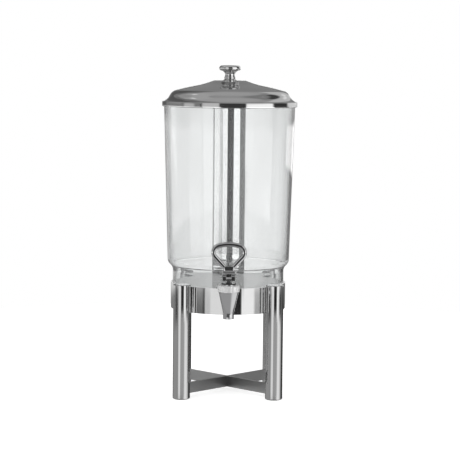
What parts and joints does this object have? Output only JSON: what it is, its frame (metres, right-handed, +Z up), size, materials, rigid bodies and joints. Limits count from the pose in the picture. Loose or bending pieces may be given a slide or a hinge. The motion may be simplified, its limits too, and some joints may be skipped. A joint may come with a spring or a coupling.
{
  "type": "juice dispenser",
  "caption": "Clear tapered vessel with an ice tube, spun steel lid and knob, on a four-post steel stand with a loop-handled pull tap.",
  "frame": {"origin": "on the vessel's axis at table height, at the centre of the four feet", "axes": "+Z up along the vessel, -Y towards the tap, +X to the right seen from the tap"},
  "size_m": [0.2506, 0.2853, 0.6109],
  "materials": {
    "polished_steel": "mirror polished stainless steel",
    "satin_steel": "satin stainless steel",
    "lid_steel": "spun and polished stainless steel",
    "chrome_plate": "bright chrome plate",
    "clear_vessel": "clear gloss",
    "seal_rubber": "matt silicone",
    "black_plastic": "matt moulded",
    "white_plastic": "moulded"
  },
  "bodies": {
    "stand": {"post_front_left": "polished_steel", "post_front_right": "polished_steel", "post_back_left": "polished_steel", "post_back_right": "polished_steel", "post_caps": "polished_steel", "foot_glides": "black_plastic", "support_ring": "polished_steel", "seat_ring": "polished_steel", "cushion_ring": "seal_rubber", "cross_bar_upper": "satin_steel", "cross_bar_lower": "satin_steel"},
    "container": {"container": "clear_vessel", "hub_seal": "seal_rubber", "tap_body": "chrome_plate", "tap_gasket_outer": "seal_rubber", "tap_gasket_inner": "seal_rubber", "tap_lock_nut": "white_plastic", "bonnet_nut": "chrome_plate", "bonnet": "chrome_plate", "lever_pin": "satin_steel", "return_spring": "satin_steel"},
    "ice_tube": {"ice_tube": "polished_steel", "ice_tube_base": "polished_steel"},
    "lid": {"lid_shell": "lid_steel", "lid_knob": "lid_steel", "knob_washer": "satin_steel", "knob_screw": "satin_steel"},
    "tap_lever": {"lever": "chrome_plate"},
    "valve": {"valve_rod": "satin_steel", "seat_cup": "seal_rubber"}
  },
  "joints": [
    {"name": "container_lift", "type": "slide", "parent": "stand", "child": "container", "axis": [0, 0, 1], "range_m": [0, 0.08]},
    {"name": "ice_tube_lift", "type": "slide", "parent": "container", "child": "ice_tube", "axis": [0, 0, 1], "range_m": [0, 0.4]},
    {"name": "lid_lift", "type": "slide", "parent": "ice_tube", "child": "lid", "axis": [0, 0, 1], "range_m": [0, 0.12]},
    {"name": "lever_pull", "type": "hinge", "parent": "container", "child": "tap_lever", "pos_m": [0, -0.1445, 0.232], "axis": [1, 0, 0], "range_deg": [0, 35], "stiffness_Nm_per_rad": 0.3, "springref_deg": -11.46},
    {"name": "valve_rise", "type": "slide", "parent": "container", "child": "valve", "axis": [0, 0, 1], "range_m": [0, 0.0028], "deforming": ["return_spring"]}
  ],
  "couplings": [
    {"joint": "valve_rise", "follows": "lever_pull", "m_per_rad": 0.0045}
  ]
}
